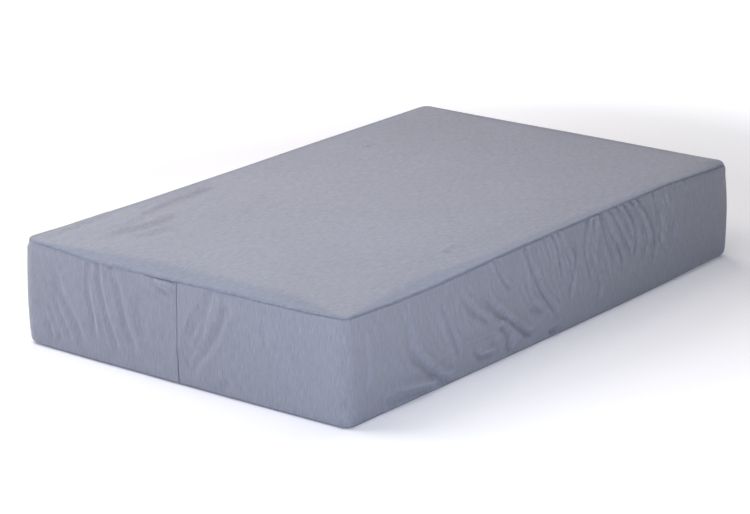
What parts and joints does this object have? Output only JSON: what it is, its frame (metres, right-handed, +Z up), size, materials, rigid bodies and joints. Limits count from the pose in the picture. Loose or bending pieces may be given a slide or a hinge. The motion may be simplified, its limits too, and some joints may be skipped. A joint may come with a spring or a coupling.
{
  "type": "memory foam mattress",
  "caption": "Free-standing small double mattress: bonded foam core in a knitted sleeve and a loose grey cloth cover that opens with a side zip.",
  "frame": {"origin": "centre of the underside, on the plane that the mattress rests on", "axes": "+Z up, +Y along the length towards the head end, +X across the width; the foot end faces -Y and the zip is on the -X side"},
  "size_m": [1.2152, 1.9096, 0.3072],
  "materials": {
    "base_foam": "open-cell high-resilience polyurethane foam, matt, cut faces",
    "transition_foam": "open-cell medium polyurethane foam, matt, cut faces",
    "memory_foam": "slow-recovery viscoelastic foam, fine closed surface, matt",
    "sleeve_knit": "thin plain knitted sleeve, matt white",
    "sewing_thread": "overlocked polyester thread",
    "cover_knit": "loose heather-grey knitted cloth with fine streaks, soft sheen",
    "underside_cloth": "plain woven underside cloth, matt, slightly darker grey",
    "binding_tape": "narrow woven binding tape",
    "zip_tape": "woven zip tape",
    "zip_coil": "moulded nylon coil",
    "zip_metal": "plated zip metal, satin"
  },
  "bodies": {
    "root": {"base_foam_lower": "base_foam", "base_foam_zoned": "base_foam", "transition_foam": "transition_foam", "memory_foam": "memory_foam", "inner_sleeve": "sleeve_knit", "inner_sleeve_closing_seam": "sewing_thread", "cover_top_panel": "cover_knit", "cover_side_band": "cover_knit", "cover_zip_strip": "cover_knit", "cover_underside_panel": "underside_cloth", "top_seam_binding": "binding_tape", "bottom_seam_binding": "binding_tape", "foot_joint_binding": "binding_tape", "zip_tape_upper": "zip_tape", "zip_tape_lower": "zip_tape", "zip_coil_upper": "zip_coil", "zip_coil_lower": "zip_coil", "zip_end_stops": "zip_metal", "zip_end_patch_head": "cover_knit", "zip_end_patch_foot": "cover_knit"},
    "zip_slider_body": {"zip_slider": "zip_metal"},
    "zip_pull_body": {"zip_pull": "zip_metal"}
  },
  "joints": [
    {"name": "zip_slide", "type": "slide", "parent": "root", "child": "zip_slider_body", "axis": [0, -1, 0], "range_m": [0, 1.652]},
    {"name": "pull_flip", "type": "hinge", "parent": "zip_slider_body", "child": "zip_pull_body", "pos_m": [-0.6083, 0.826, 0.034], "axis": [0, 0, -1], "range_deg": [0, 175]}
  ]
}
